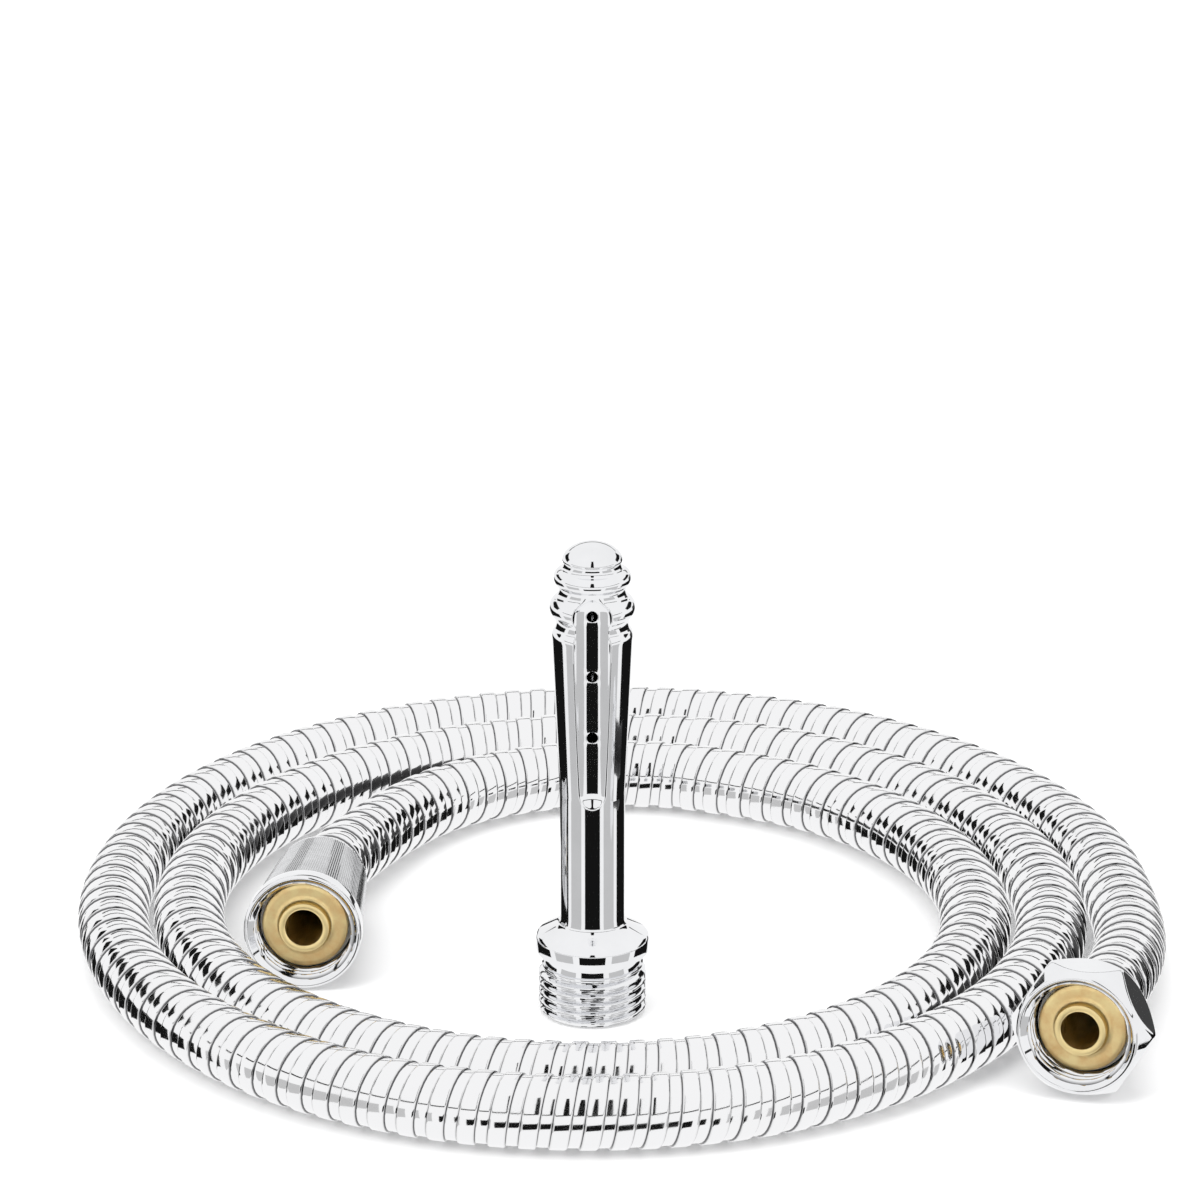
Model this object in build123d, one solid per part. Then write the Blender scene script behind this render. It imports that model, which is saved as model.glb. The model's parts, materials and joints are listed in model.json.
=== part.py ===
from build123d import *
import os
from math import cos, radians, sin, tan

# Handheld bath sprayer: a chromed G1/2 nozzle that stands on its threaded inlet, inside
# a coiled 14 mm metal hose with a round nut on one end and a hexagon nut on the other.
# Millimetres. The origin is the middle of the nozzle's inlet face, +Z runs up its axis,
# and the hose lies on the same surface, z = 0.

# G1/2 parallel pipe thread, used by the nozzle and by both nuts
thread_pitch = 1.814
thread_major_radius = 20.955 / 2
thread_minor_radius = 18.631 / 2
thread_clearance = 0.04
thread_root_width = 0.82 * thread_pitch
flank_angle = 27.5
ridge_sunk = 0.35
ridge_excess = 0.12

# nozzle
nozzle_height = 95.5
inlet_chamfer_radius = 9.35
thread_top = 9.3
thread_run_out = 0.9
relief_radius = 9.43
relief_step = 0.4
relief_top = 12.4
collar_radius = 10.93
collar_top = 15.4
collar_edge = 0.3
cone_rim_radius = 10.55
cone_rim_height = 15.75
tube_radius = 6.25
tube_foot_height = 18.1
taper_start_height = 45.0
shoulder_radius = 7.75
# the head above the shoulder as arcs in (radius, height), each through a middle point
head_arcs = [
    ((shoulder_radius, 77.1), (7.62, 77.75), (7.15, 78.5)),  # shoulder
    ((7.15, 78.5), (7.0, 79.7), (7.25, 80.85)),  # lower groove
    ((7.25, 80.85), (8.19, 82.85), (6.95, 84.75)),  # lower ring
    ((6.75, 85.0), (6.44, 86.3), (6.75, 87.3)),  # upper groove
    ((6.75, 87.3), (7.4, 88.75), (6.2, 90.2)),  # upper ring
    ((5.78, 90.45), (5.58, 91.35), (5.8, 92.2)),  # neck
]
dome_curve = [(5.8, 92.2), (5.45, 93.9), (2.9, nozzle_height), (0, nozzle_height)]
flute_cutter_radius = 4.55
flute_axis_offset = 9.67
flute_bottom = 46.9
flute_top = 83.1
bore_radius = 4.0
bore_top = 85.0
inlet_bore_radius = 6.8
inlet_bore_depth = 9.0
drill_point_angle = 59.0
jet_radius = 1.1
jet_heights = (58.0, 70.3, 82.4)

# hose section
hose_radius = 7.0
casing_inner_radius = 5.75
inner_tube_radius = 5.65
inner_tube_bore = 4.45

# coil: a flat spiral that runs clockwise, seen from above, from its inner end.
# Turn angle 0 is at the back, and the turns lie a little further apart there.
coil_centre = (1.4, 31.8)
coil_first_radius = 72.3
coil_turn_spacing = 15.3
coil_back_gap = 0.9
coil_width_ratio = 0.975
coil_start_angle = 20
coil_end_angle = 810
coil_edge_radius = 5.0
outline_step = 15

# hose ends: middle of each nut's mouth, the way it faces and its tilt up from the floor
round_mouth = (-56.5, 8.5, 11.95)
round_heading = -93.5
round_tilt = 4.7
hex_mouth = (90.0, -42.0, 13.3)
hex_heading = -108.0
hex_tilt = 5.0

# route corners between each nut and the coil
round_lead_straight = 38.0
round_lead_corners = [(-43.8, 73.8, 7.0), (-30.5, 92.6, 7.0), (-9.5, 103.8, 7.0)]
round_lead_last_run = 13.0
hex_lead_straight = 40.0
hex_lead_last_run = 16.0
arc_share = 0.45

# hose end fittings, measured back from the nut's mouth
flange_radius = 8.4
flange_thickness = 2.2
boss_radius = 4.95
boss_height = 1.8
insert_bore = 3.65
insert_neck_radius = 6.0
insert_neck_length = 2.5
spigot_radius = 4.4
spigot_length = 18.0
barb_depth = 0.35
barb_pitch = 4.0
bush_radius = 9.0
bush_thickness = 2.0
bush_bore = 6.1
ferrule_radius = 7.3
ferrule_wall = 0.26
ferrule_lip = 0.6
ferrule_length = 8.0
moving_gap = 0.3
cut_past = 1.0
nut_back_bore = 7.6

# round nut
round_nut_length = 34.0
round_nut_recess = 4.6
round_rim_radius = 11.5
round_rim_length = 4.2
round_rim_fillet = 0.6
round_step = 0.35
round_back_radius = 9.1
round_back_edge = 0.5
mouth_radius = 10.75

# hexagon nut
hex_nut_length = 18.0
hex_nut_recess = 4.6
hex_across_flats = 24.0
hex_length = 11.0
hex_front_radius = 11.35
hex_chamfer_length = 5.1
hex_collar_radius = 9.7
hex_collar_back_radius = 8.7
hex_collar_taper = 2.0


def revolved(edges):
    """The solid that a closed half section, drawn as radius and height, sweeps about Z."""
    return revolve(Plane.XZ * make_face(edges), axis=Axis.Z)


def turned(points):
    """A solid of revolution about Z from the (radius, height) corners of its half section."""
    return revolved(Polyline(*points, close=True).edges())


def thread_ridge(bottom, top, clearance):
    """A right-hand helical ridge with flanks of the pipe thread, a little taller than the thread."""
    root = thread_minor_radius - clearance
    path = Helix(pitch=thread_pitch, height=top - bottom, radius=root, center=(0, 0, bottom))
    inside = -ridge_sunk
    outside = thread_major_radius - thread_minor_radius + ridge_excess
    half_root = thread_root_width / 2 - clearance
    slope = tan(radians(flank_angle))
    section_plane = Plane(origin=path @ 0, x_dir=(1, 0, 0), z_dir=path % 0)
    section = section_plane * Polygon(
        (inside, half_root - slope * inside),
        (outside, half_root - slope * outside),
        (outside, -half_root + slope * outside),
        (inside, -half_root + slope * inside),
        align=None,
    )
    return sweep(section, path=path, is_frenet=True)


def nozzle_outside():
    """The turned outside: threaded inlet, collar, tube that swells towards two rings, and a dome."""
    root = thread_minor_radius - thread_clearance
    foot = Polyline(
        (0, 0),
        (root, 0),
        (root, thread_top),
        (relief_radius, thread_top + relief_step),
        (relief_radius, relief_top),
        (collar_radius - collar_edge, relief_top),
        (collar_radius, relief_top + collar_edge),
        (collar_radius, collar_top),
        (cone_rim_radius, cone_rim_height),
        (tube_radius, tube_foot_height),
        (tube_radius, taper_start_height),
        head_arcs[0][0],
    )
    arcs = [ThreePointArc(*arc) for arc in head_arcs]
    steps = [
        Line(head_arcs[2][2], head_arcs[3][0]),
        Line(head_arcs[4][2], head_arcs[5][0]),
    ]
    axis_line = Line((0, nozzle_height), (0, 0))
    return revolved([*foot.edges(), *arcs, *steps, Bezier(*dome_curve), axis_line])


def nozzle_thread():
    """The male thread, cut to the thread's own cylinder and faded out by a chamfer at each end."""
    lead_in = thread_major_radius - inlet_chamfer_radius
    crest = thread_major_radius - thread_clearance
    envelope = turned([
        (thread_minor_radius - ridge_sunk, 0),
        (inlet_chamfer_radius, 0),
        (crest, lead_in),
        (crest, thread_top - thread_run_out),
        (thread_minor_radius, thread_top),
        (thread_minor_radius - ridge_sunk, thread_top),
    ])
    return thread_ridge(-0.5 * cut_past, thread_top + ridge_excess, thread_clearance) & envelope


def flute_cutter(side):
    """A round-ended bar, standing off the axis on one side, that mills a flute into the tube."""
    place = Pos(0, side * flute_axis_offset, 0)
    bar = Pos(0, 0, (flute_bottom + flute_top) / 2) * Cylinder(flute_cutter_radius, flute_top - flute_bottom)
    ends = [Pos(0, 0, height) * Sphere(flute_cutter_radius) for height in (flute_bottom, flute_top)]
    return place * (bar + ends)


def nozzle_bore():
    """The water way: a wide inlet, then a long drilled hole that ends in the drill's point."""
    point_length = bore_radius / tan(radians(drill_point_angle))
    step_length = (inlet_bore_radius - bore_radius) / tan(radians(drill_point_angle))
    return turned([
        (0, -cut_past),
        (inlet_bore_radius, -cut_past),
        (inlet_bore_radius, inlet_bore_depth),
        (bore_radius, inlet_bore_depth + step_length),
        (bore_radius, bore_top),
        (0, bore_top + point_length),
    ])


def make_nozzle_body():
    """One turned piece with two opposed flutes and three jets drilled through both of them."""
    body = nozzle_outside()
    for side in (-1, 1):
        body -= flute_cutter(side)
    body -= nozzle_bore()
    for height in jet_heights:
        body -= Pos(0, 0, height) * Rot(90, 0, 0) * Cylinder(jet_radius, 4 * shoulder_radius)
    return body + nozzle_thread()


def coil_radius(angle):
    """Spiral radius at a turn angle: it grows by one spacing a turn, a little more at the back."""
    gap = coil_turn_spacing + coil_back_gap * cos(radians(angle))
    return coil_first_radius + gap * angle / 360


def coil_point(angle, offset=0.0):
    """A point in plan beside the hose's centre line; a positive offset lies outside it."""
    radius = coil_radius(angle)
    x = coil_centre[0] + coil_width_ratio * radius * sin(radians(angle))
    y = coil_centre[1] + radius * cos(radians(angle))
    run = coil_tangent(angle)
    return Vector(x - run.Y * offset, y + run.X * offset, 0)


def coil_tangent(angle):
    """The way that the hose runs at a turn angle, from a short step along the spiral."""
    step = 0.01
    ends = []
    for end in (angle - step, angle + step):
        radius = coil_radius(end)
        ends.append(Vector(coil_width_ratio * radius * sin(radians(end)), radius * cos(radians(end))))
    return (ends[1] - ends[0]).normalized()


def coil_edge(first, last, offset):
    """One side of a turn, as a smooth curve through points at even steps."""
    count = round((last - first) / outline_step)
    angles = [first + (last - first) * step / count for step in range(count + 1)]
    return Spline([coil_point(angle, offset) for angle in angles])


def make_hose_coil():
    """The closed outer shape of the coiled hose: the ring that the turns fill, lying flat."""
    inner = coil_edge(coil_start_angle, coil_start_angle + 360, -hose_radius)
    inner_step = coil_point(coil_start_angle, hose_radius)
    outer = coil_edge(coil_end_angle - 360, coil_end_angle, hose_radius)
    outer_step = coil_point(coil_end_angle, -hose_radius)
    hole = make_face(inner + Line(inner @ 1, inner_step) + Line(inner_step, inner @ 0))
    ring = make_face(outer + Line(outer @ 1, outer_step) + Line(outer_step, outer @ 0)) - hole
    coil = extrude(ring, 2 * hose_radius, dir=(0, 0, 1))
    long_edges = coil.edges().filter_by(GeomType.BSPLINE)
    return fillet(long_edges, coil_edge_radius)


def mouth_plane(mouth, heading, tilt):
    """The frame of a hose end: its origin in the nut's mouth, X level and Z out of the hose."""
    level = cos(radians(tilt))
    out = Vector(level * cos(radians(heading)), level * sin(radians(heading)), sin(radians(tilt)))
    side = Vector(-sin(radians(heading)), cos(radians(heading)), 0)
    return Plane(origin=mouth, x_dir=side, z_dir=out)


def back_from(plane, distance):
    """The point on a hose end's axis that lies this far back from the nut's mouth."""
    return plane.origin - plane.z_dir * distance


def corner_radii(points):
    """For each corner of a route, the arc that takes up the given share of its shorter run.
    The first and last runs hold only one arc each, so they count double."""
    runs = [(after - before).length for before, after in zip(points, points[1:])]
    runs[0] *= 2
    runs[-1] *= 2
    radii = []
    for place in range(1, len(points) - 1):
        turn = (points[place] - points[place - 1]).get_angle(points[place + 1] - points[place])
        shorter = min(runs[place - 1], runs[place])
        radii.append(arc_share * shorter / tan(radians(turn / 2)))
    return radii


def lead(points, name, outer, inner):
    """A stretch of tube along straight runs that are joined by tangent arcs."""
    radii = corner_radii(points)
    path = FilletPolyline(points, radius=radii)
    start = Plane(origin=path @ 0, z_dir=path % 0)
    section = start * (Circle(outer) - Circle(inner))
    tube = sweep(section, path=path)
    print(name, "length", round(path.length, 1), "radii", [round(radius, 1) for radius in radii])
    print(name, "volume / section x length", round(tube.volume / (section.area * path.length), 4))
    return tube


def round_lead_route(plane, start):
    """From inside the round nut, held straight by it, round to the inner end of the coil."""
    end = coil_point(coil_start_angle) + Vector(0, 0, hose_radius)
    last_corner = end - coil_tangent(coil_start_angle) * round_lead_last_run
    corners = [Vector(corner) for corner in round_lead_corners]
    return [back_from(plane, start), back_from(plane, round_lead_straight), *corners, last_corner, end]


def hex_lead_route(plane, start):
    """From inside the hexagon nut, held straight by it, down to the outer end of the coil."""
    end = coil_point(coil_end_angle) + Vector(0, 0, hose_radius)
    last_corner = end + coil_tangent(coil_end_angle) * hex_lead_last_run
    return [back_from(plane, start), back_from(plane, hex_lead_straight), last_corner, end]


def make_insert(recess):
    """The brass hose tail: a raised boss, a flange, a neck and a barbed spigot, bored through."""
    face = -recess
    neck = face - flange_thickness
    shoulder = neck - insert_neck_length
    tail = shoulder - spigot_length
    outline = [
        (insert_bore, face + boss_height),
        (boss_radius, face + boss_height),
        (boss_radius, face),
        (flange_radius, face),
        (flange_radius, neck),
        (insert_neck_radius, neck),
        (insert_neck_radius, shoulder),
        (spigot_radius, shoulder),
    ]
    barb_foot = shoulder - barb_pitch / 2
    while barb_foot - barb_pitch > tail:
        outline.append((spigot_radius, barb_foot))
        outline.append((spigot_radius, barb_foot - barb_pitch / 4))
        outline.append((spigot_radius - barb_depth, barb_foot - barb_pitch))
        barb_foot -= barb_pitch
    outline.append((spigot_radius - barb_depth, tail))
    outline.append((insert_bore, tail))
    return turned(outline)


def make_bush(recess):
    """The flat nylon ring between the flange and the shoulder in the nut, on which the nut turns."""
    front = -recess - flange_thickness
    back = front - bush_thickness
    return turned([(bush_bore, front), (bush_radius, front), (bush_radius, back), (bush_bore, back)])


def make_ferrule(recess):
    """The thin steel cap that is crimped over the end of the hose, with a lip in front of it."""
    front = -recess - flange_thickness - insert_neck_length
    lip = front - ferrule_lip
    back = front - ferrule_length
    wall = ferrule_radius - ferrule_wall
    return turned([
        (spigot_radius, front),
        (ferrule_radius, front),
        (ferrule_radius, back),
        (wall, back),
        (wall, lip),
        (spigot_radius, lip),
    ])


def hose_start(recess):
    """How far behind the mouth the cut end of the hose lies, against the ferrule's lip."""
    return recess + flange_thickness + insert_neck_length + ferrule_lip


def nut_bore(recess, length):
    """What is bored out of a nut: a lead-in, the threaded bore, and a narrower way for the hose."""
    shoulder = -recess - flange_thickness - bush_thickness - moving_gap
    bore = thread_minor_radius + thread_clearance
    return turned([
        (0, cut_past),
        (mouth_radius + cut_past, cut_past),
        (bore, bore - mouth_radius),
        (bore, shoulder),
        (nut_back_bore, shoulder),
        (nut_back_bore, -length - cut_past),
        (0, -length - cut_past),
    ])


def nut_thread_cut(recess):
    """The female thread, from the lead-in to the front of the flange."""
    return thread_ridge(-recess - flange_thickness, 0.6 * cut_past, -thread_clearance)


def make_round_nut():
    """A long conical nut: a smooth rim, a shallow step, then a taper back to the hose."""
    rim_line = Polyline(
        (round_rim_radius, -round_rim_fillet),
        (round_rim_radius, -round_rim_length),
        (round_rim_radius - round_step, -round_rim_length - round_step),
        (round_back_radius, -round_nut_length + round_back_edge),
        (round_back_radius - round_back_edge, -round_nut_length),
        (0, -round_nut_length),
        (0, 0),
        (round_rim_radius - round_rim_fillet, 0),
    )
    rim_corner = RadiusArc(rim_line @ 1, rim_line @ 0, round_rim_fillet)
    blank = revolved([*rim_line.edges(), rim_corner])
    return blank - nut_bore(round_nut_recess, round_nut_length) - nut_thread_cut(round_nut_recess)


def make_hex_nut():
    """A hexagon with both ends turned to a chamfer, and a short round collar behind it."""
    corner_radius = hex_across_flats / 2 / cos(radians(30))
    hexagon = extrude(RegularPolygon(corner_radius, 6), -hex_length, dir=(0, 0, 1))
    chamfers = turned([
        (0, 0),
        (hex_front_radius, 0),
        (corner_radius, -hex_chamfer_length),
        (corner_radius, -hex_length + hex_chamfer_length),
        (hex_front_radius, -hex_length),
        (0, -hex_length),
    ])
    collar = turned([
        (0, -hex_length / 2),
        (hex_collar_radius, -hex_length / 2),
        (hex_collar_radius, -hex_nut_length + hex_collar_taper),
        (hex_collar_back_radius, -hex_nut_length),
        (0, -hex_nut_length),
    ])
    blank = (hexagon & chamfers) + collar
    return blank - nut_bore(hex_nut_recess, hex_nut_length) - nut_thread_cut(hex_nut_recess)


round_end = mouth_plane(round_mouth, round_heading, round_tilt)
hex_end = mouth_plane(hex_mouth, hex_heading, hex_tilt)
round_hose = round_lead_route(round_end, hose_start(round_nut_recess))
hex_hose = hex_lead_route(hex_end, hose_start(hex_nut_recess))

parts = {
    "nozzle_body": make_nozzle_body(),
    "hose_coil": make_hose_coil(),
    "hose_casing_round_end": lead(round_hose, "round end casing", hose_radius, casing_inner_radius),
    "hose_casing_hex_end": lead(hex_hose, "hexagon end casing", hose_radius, casing_inner_radius),
    "inner_tube_round_end": lead(round_hose, "round end tube", inner_tube_radius, inner_tube_bore),
    "inner_tube_hex_end": lead(hex_hose, "hexagon end tube", inner_tube_radius, inner_tube_bore),
    "round_nut": round_end.location * make_round_nut(),
    "round_end_insert": round_end.location * make_insert(round_nut_recess),
    "round_end_bush": round_end.location * make_bush(round_nut_recess),
    "round_end_ferrule": round_end.location * make_ferrule(round_nut_recess),
    "hex_nut": hex_end.location * make_hex_nut(),
    "hex_end_insert": hex_end.location * make_insert(hex_nut_recess),
    "hex_end_bush": hex_end.location * make_bush(hex_nut_recess),
    "hex_end_ferrule": hex_end.location * make_ferrule(hex_nut_recess),
}

for name, shape in parts.items():
    export_step(shape, f"parts/{name}.step")
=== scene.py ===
import json
from math import cos, pi, radians, sin, tan

import bmesh
import bpy
import numpy as np
from bpy.props import FloatProperty, FloatVectorProperty, IntProperty, PointerProperty
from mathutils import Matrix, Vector


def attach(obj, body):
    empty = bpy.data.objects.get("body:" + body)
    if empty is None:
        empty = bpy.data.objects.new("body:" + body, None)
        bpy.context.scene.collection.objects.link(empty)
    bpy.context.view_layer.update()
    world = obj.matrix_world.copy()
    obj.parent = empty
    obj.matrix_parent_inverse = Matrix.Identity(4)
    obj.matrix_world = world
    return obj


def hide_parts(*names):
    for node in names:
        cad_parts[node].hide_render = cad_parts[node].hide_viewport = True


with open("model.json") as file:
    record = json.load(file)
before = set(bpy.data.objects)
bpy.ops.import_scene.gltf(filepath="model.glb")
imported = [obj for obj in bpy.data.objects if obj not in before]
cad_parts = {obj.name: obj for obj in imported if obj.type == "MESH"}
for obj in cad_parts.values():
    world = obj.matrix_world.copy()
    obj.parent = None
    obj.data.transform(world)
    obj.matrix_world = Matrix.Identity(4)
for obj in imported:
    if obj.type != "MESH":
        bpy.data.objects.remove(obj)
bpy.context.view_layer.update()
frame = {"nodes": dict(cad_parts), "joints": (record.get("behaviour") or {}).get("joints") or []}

bl_info = {
    "name": "Bath Sprayer",
    "version": (1, 0, 0),
    "blender": (4, 5, 0),
    "location": "View3D > Sidebar > Sprayer",
    "description": "Builds a fluted bath spray nozzle and its coiled metal hose",
    "category": "Add Mesh",
}

MM = 0.001


def length(name, description, default):
    """A size in metres, shown in the scene's length unit; the default is given in millimetres."""
    return FloatProperty(name=name, description=description, default=default * MM, unit="LENGTH", precision=5)


def colour(name, description, default):
    return FloatVectorProperty(
        name=name, description=description, default=default, subtype="COLOR", size=3, min=0.0, max=1.0
    )


class SprayerThread(bpy.types.PropertyGroup):
    pitch: length("Pitch", "Rise of the pipe thread in one turn", 1.814)
    major: length("Major radius", "Outer radius of the pipe thread", 10.4775)
    minor: length("Minor radius", "Inner radius of the pipe thread", 9.3155)
    gap: length("Clearance", "Radial play of each half of the thread", 0.04)


class SprayerNozzle(bpy.types.PropertyGroup):
    height: length("Height", "From the inlet face to the tip", 95.5)
    inlet_radius: length("Inlet edge radius", "Outer radius of the flat inlet face", 9.35)
    thread_top: length("Thread top", "Where the male thread ends", 9.3)
    relief_radius: length("Relief radius", "Plain neck between thread and collar", 9.43)
    relief_top: length("Relief top", "Underside of the collar", 12.4)
    collar_radius: length("Collar radius", "Widest part of the nozzle", 10.93)
    collar_top: length("Collar top", "Upper edge of the collar", 15.4)
    tube_radius: length("Tube radius", "Straight lower tube", 6.25)
    tube_foot: length("Tube foot", "Where the collar's cone meets the tube", 18.1)
    taper_start: length("Taper start", "Where the tube begins to swell", 45.0)
    shoulder_radius: length("Shoulder radius", "Top of the swelling", 7.75)
    shoulder_height: length("Shoulder height", "Height of the shoulder", 77.1)
    dome_radius: length("Dome radius", "Foot of the domed tip", 5.8)
    dome_foot: length("Dome foot", "Height where the dome begins", 92.2)
    flute_radius: length("Flute radius", "Radius of the round-ended cut", 4.55)
    flute_offset: length("Flute offset", "Distance of the cut's centre line from the axis", 9.67)
    flute_bottom: length("Flute bottom", "Lower end of the cut's centre line", 46.9)
    flute_top: length("Flute top", "Upper end of the cut's centre line", 83.1)
    flute_edge: length("Flute edge", "How far the polished edge of a flute is rounded", 0.28)
    jet_radius: length("Jet radius", "Radius of each spray hole", 1.1)
    jet_margin: length("Jet margin", "Half width of the evenly meshed patch round a jet", 2.0)
    jet_chamfer: length("Jet chamfer", "Width of the bevel round each spray hole", 0.1)
    bore_radius: length("Bore radius", "Long drilled water way", 4.0)
    bore_top: length("Bore top", "Where the drill's point begins", 85.0)
    inlet_bore_radius: length("Inlet bore radius", "Wide mouth of the water way", 6.8)
    inlet_bore_depth: length("Inlet bore depth", "Depth of the wide mouth", 9.0)


class SprayerHose(bpy.types.PropertyGroup):
    radius: length("Casing radius", "Outside of the raised bands", 7.0)
    low_radius: length("Low band radius", "Outside of the sunken bands", 6.58)
    inner_radius: length("Casing bore", "Inside of the metal casing", 5.75)
    pitch: length("Strip pitch", "Length of hose that one turn of the strip covers", 5.45)
    length: length("Length", "Casing from end to end", 1450.0)
    coil_x: length("Coil centre X", "Middle of the spiral", 1.4)
    coil_y: length("Coil centre Y", "Middle of the spiral", 31.8)
    coil_first: length("First radius", "Spiral radius at the back, at turn angle 0", 72.3)
    coil_spacing: length("Turn spacing", "Distance between neighbouring turns", 15.3)
    coil_back_gap: length("Back gap", "How much further apart the turns lie at the back", 0.9)
    coil_ratio: FloatProperty(name="Width ratio", description="Coil's width over its depth", default=0.975)
    sides: IntProperty(name="Sides", description="Mesh columns round the hose", default=32, min=12)


class SprayerFittings(bpy.types.PropertyGroup):
    round_length: length("Round nut length", "Mouth to back of the conical nut", 34.0)
    round_radius: length("Round nut radius", "Smooth rim of the conical nut", 11.5)
    round_back: length("Round nut back radius", "Thin end of the taper", 9.1)
    round_recess: length("Round nut recess", "Mouth to brass flange", 4.6)
    hex_length: length("Hexagon nut length", "Mouth to back of the collar", 18.0)
    hex_depth: length("Hexagon depth", "Length of the six flats", 11.0)
    hex_flats: length("Across flats", "Spanner size of the hexagon", 24.0)
    hex_rim: length("Hexagon rim radius", "Where the chamfer meets the end face", 11.35)
    hex_chamfer: length("Hexagon chamfer length", "Depth at which the chamfer leaves the corners", 5.1)
    hex_collar: length("Hexagon collar radius", "Round collar behind the flats", 9.7)
    hex_recess: length("Hexagon nut recess", "Mouth to brass flange", 4.6)
    mouth: length("Mouth radius", "Widest part of the thread's lead-in", 10.75)
    back_bore: length("Back bore radius", "Hole that the hose passes through", 7.6)
    flange: length("Flange radius", "Brass flange", 8.4)
    flange_depth: length("Flange thickness", "Brass flange", 2.2)
    boss: length("Boss radius", "Raised ring on the flange", 4.95)
    boss_height: length("Boss height", "Raised ring on the flange", 1.8)
    insert_bore: length("Insert bore", "Water way through the brass", 3.65)
    neck: length("Insert neck radius", "Behind the flange", 6.0)
    neck_length: length("Insert neck length", "Behind the flange", 2.5)
    spigot: length("Spigot radius", "Barbed tail in the inner tube", 4.4)
    spigot_length: length("Spigot length", "Barbed tail in the inner tube", 18.0)
    bush_depth: length("Bush thickness", "Nylon ring behind the flange", 2.0)
    lip: length("Ferrule lip", "Front wall of the crimped ferrule", 0.6)
    play: length("Play", "Gap between a nut and what it turns on", 0.3)
    knurl_depth: length("Knurl depth", "Height of the diamond pattern", 0.22)
    knurl_count: IntProperty(name="Knurl count", description="Diamonds round the nut", default=76, min=12)
    knurl_radius: length("Knurl radius", "Middle of the taper, where the diamonds are square", 10.3)


class SprayerFinish(bpy.types.PropertyGroup):
    chrome: colour("Chrome", "Polished plate of the nozzle and nuts", (0.88, 0.885, 0.90))
    steel: colour("Hose steel", "Bright strip of the casing", (0.90, 0.90, 0.91))
    steel_gap: colour("Strip gap", "Shaded foot of the strip's steps", (0.035, 0.035, 0.04))
    brass: colour("Brass", "Turned inserts", (1.0, 0.80, 0.40))
    brass_dull: colour("Dull brass", "Tarnish on the inserts", (0.88, 0.60, 0.27))
    rubber: colour("Rubber", "Inner tube", (0.016, 0.015, 0.017))
    nylon: colour("Nylon", "Bush", (0.80, 0.79, 0.75))
    ferrule: colour("Ferrule", "Drawn steel", (0.55, 0.55, 0.57))
    floor: colour("Floor", "Plain studio floor", (0.93, 0.93, 0.93))


# ------------------------------------------------------------------ mesh helpers


def smooth_min(a, b, width):
    """The smaller of two surfaces, with the edge between them rounded over the given width."""
    near = np.maximum(width - np.abs(a - b), 0.0) / width
    return np.minimum(a, b) - near * near * width / 4


def arc_points(first, middle, last, count):
    """count + 1 points on the circle through three points of a plane, from first to last."""
    (ax, ay), (bx, by), (cx, cy) = first, middle, last
    twice = 2 * (ax * (by - cy) + bx * (cy - ay) + cx * (ay - by))
    a2, b2, c2 = ax * ax + ay * ay, bx * bx + by * by, cx * cx + cy * cy
    ux = (a2 * (by - cy) + b2 * (cy - ay) + c2 * (ay - by)) / twice
    uy = (a2 * (cx - bx) + b2 * (ax - cx) + c2 * (bx - ax)) / twice
    start, via, end = (np.arctan2(y - uy, x - ux) for x, y in (first, middle, last))
    turn = (end - start) % (2 * pi)
    if (via - start) % (2 * pi) > turn:
        turn -= 2 * pi
    angles = start + turn * np.linspace(0, 1, count + 1)
    radius = np.hypot(ax - ux, ay - uy)
    return np.stack([ux + radius * np.cos(angles), uy + radius * np.sin(angles)], 1)


def grid_faces(rows, columns, first=0, wrap_columns=True, wrap_rows=False, keep=None):
    """Quads of a grid of vertices numbered row by row, with the rows counted up the outside."""
    row = np.arange(rows if wrap_rows else rows - 1)[:, None]
    column = np.arange(columns if wrap_columns else columns - 1)[None, :]
    next_row = (row + 1) % rows
    next_column = (column + 1) % columns
    corners = [row * columns + column, row * columns + next_column,
               next_row * columns + next_column, next_row * columns + column]
    quads = np.stack(np.broadcast_arrays(*corners), -1) + first
    return quads.reshape(-1, 4) if keep is None else quads[keep]


def make_piece(name, vertices, faces, body, stands_for, material, values=None):
    """A smooth mesh from an array of corners and an array of quads. Corners that meet, at a pole
    or a seam, are merged, which also takes away the quads that have no area there. values holds
    named arrays with one number for each corner, which the material reads as attributes."""
    mesh = bpy.data.meshes.new(name)
    mesh.from_pydata(vertices.reshape(-1, 3), [], faces)
    for attribute, amounts in (values or {}).items():
        mesh.attributes.new(attribute, "FLOAT", "POINT").data.foreach_set("value", amounts.ravel())
    work = bmesh.new()
    work.from_mesh(mesh)
    bmesh.ops.remove_doubles(work, verts=work.verts, dist=2e-7)
    bmesh.ops.dissolve_degenerate(work, edges=work.edges, dist=1e-7)
    loose = [v for v in work.verts if not v.link_faces]
    bmesh.ops.delete(work, geom=loose, context="VERTS")
    work.to_mesh(mesh)
    work.free()
    mesh.shade_smooth()
    mesh.materials.append(material)
    piece = bpy.data.objects.new(name, mesh)
    bpy.context.scene.collection.objects.link(piece)
    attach(piece, body)
    if stands_for:
        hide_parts(*stands_for)
    return piece


def hose_end(joint_name):
    """Origin and rotation of a hose end: the nut's mouth, Z out of the hose and Y as near up as can be."""
    joint = next(j for j in frame["joints"] if j["name"] == joint_name)
    out = np.array(joint["axis"])
    out /= np.linalg.norm(out)
    side = np.cross([0, 0, 1], out)
    side /= np.linalg.norm(side)
    return np.array(joint["pos_m"]), np.stack([side, np.cross(out, side), out], 1)


def placed(points, end):
    """Points of a hose end's own frame, in the row frame."""
    origin, turn = end
    return points @ turn.T + origin


def triangle_wave(phase):
    """A wave of period 1 that runs straight from 0 up to 1 and back."""
    return 1 - np.abs(2 * (phase % 1) - 1)


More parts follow.
